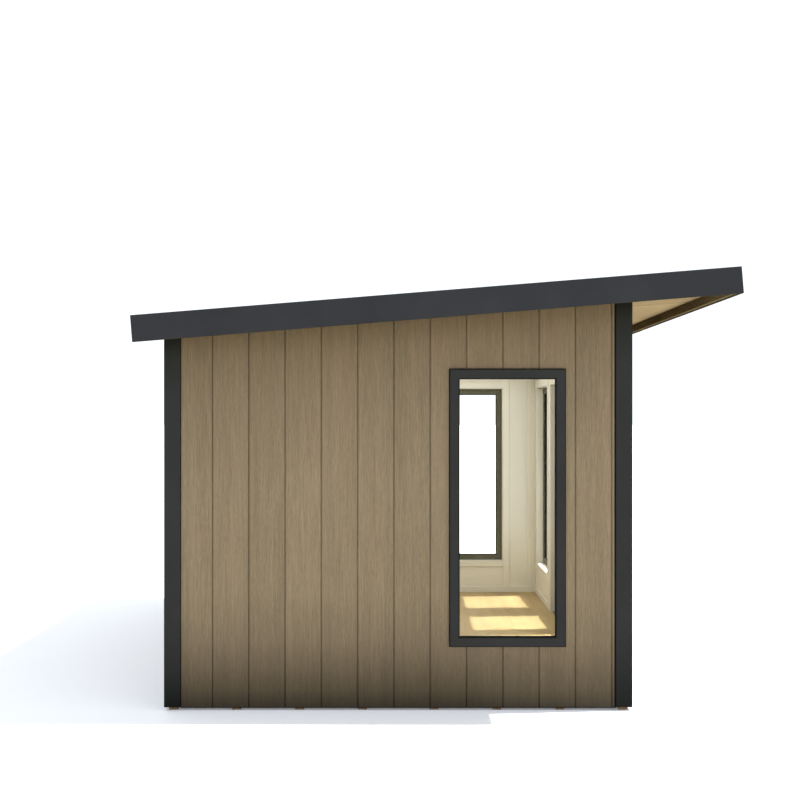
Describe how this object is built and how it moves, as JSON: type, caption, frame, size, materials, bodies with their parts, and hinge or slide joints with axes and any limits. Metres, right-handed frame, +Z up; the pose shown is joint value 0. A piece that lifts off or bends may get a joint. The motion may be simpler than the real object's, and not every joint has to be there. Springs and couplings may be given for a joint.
{
  "type": "garden office pod",
  "caption": "Single-room garden office with vertical timber cladding, dark corner trims, framed windows, glazed double door and a shallow mono-pitch roof with a deep front overhang.",
  "frame": {"origin": "on the ground under the middle of the roof's plan", "axes": "+Z up, X along the long side of the building, the glazed front with its doors faces -Y"},
  "size_m": [4.34, 3.8264, 2.8209],
  "materials": {
    "cladding_timber": "weathered, fine vertical grain, matt stain",
    "dark_metal": "satin powder coat, anthracite grey",
    "painted_lining": "smooth boards, pale cream eggshell paint",
    "floor_timber": "oiled oak boards, satin",
    "panel_board": "structural board, sawn edge",
    "bearer_timber": "sawn, treated",
    "soffit_timber": "planed pale softwood boards",
    "rim_timber": "dark stained",
    "roof_rubber": "matt single-ply membrane",
    "glazing": "clear double glazing",
    "sill_metal": "mill finish, lightly scuffed",
    "handle_steel": "satin"
  },
  "bodies": {
    "root": {"ground_bearers": "bearer_timber", "floor_panels": "panel_board", "floor_boards": "floor_timber", "left_wall": "panel_board", "left_cladding": "cladding_timber", "left_lining": "painted_lining", "right_wall": "panel_board", "right_cladding": "cladding_timber", "right_lining": "painted_lining", "rear_wall": "panel_board", "rear_cladding": "cladding_timber", "rear_lining": "painted_lining", "front_wall": "panel_board", "front_cladding": "cladding_timber", "front_lining": "painted_lining", "front_left_corner_trim": "dark_metal", "front_right_corner_trim": "dark_metal", "rear_left_corner_trim": "dark_metal", "rear_right_corner_trim": "dark_metal", "left_window_frame": "dark_metal", "left_window_glass": "glazing", "left_window_reveal": "painted_lining", "right_window_frame": "dark_metal", "right_window_glass": "glazing", "right_window_reveal": "painted_lining", "front_left_window_frame": "dark_metal", "front_left_window_glass": "glazing", "front_left_window_reveal": "painted_lining", "front_right_window_frame": "dark_metal", "front_right_window_glass": "glazing", "front_right_window_reveal": "painted_lining", "door_sill": "sill_metal", "door_frame": "dark_metal", "door_reveal": "painted_lining", "left_door_leaf": "dark_metal", "left_door_glass": "glazing", "left_door_handle": "handle_steel", "right_door_leaf": "dark_metal", "right_door_glass": "glazing", "right_door_handle": "handle_steel", "front_soffit": "soffit_timber", "rear_soffit": "soffit_timber", "side_soffits": "soffit_timber", "ceiling": "painted_lining", "rim_boards": "rim_timber", "roof_panel": "panel_board", "roof_membrane": "roof_rubber", "front_fascia": "dark_metal", "rear_fascia": "dark_metal", "left_fascia": "dark_metal", "right_fascia": "dark_metal"}
  },
  "joints": []
}
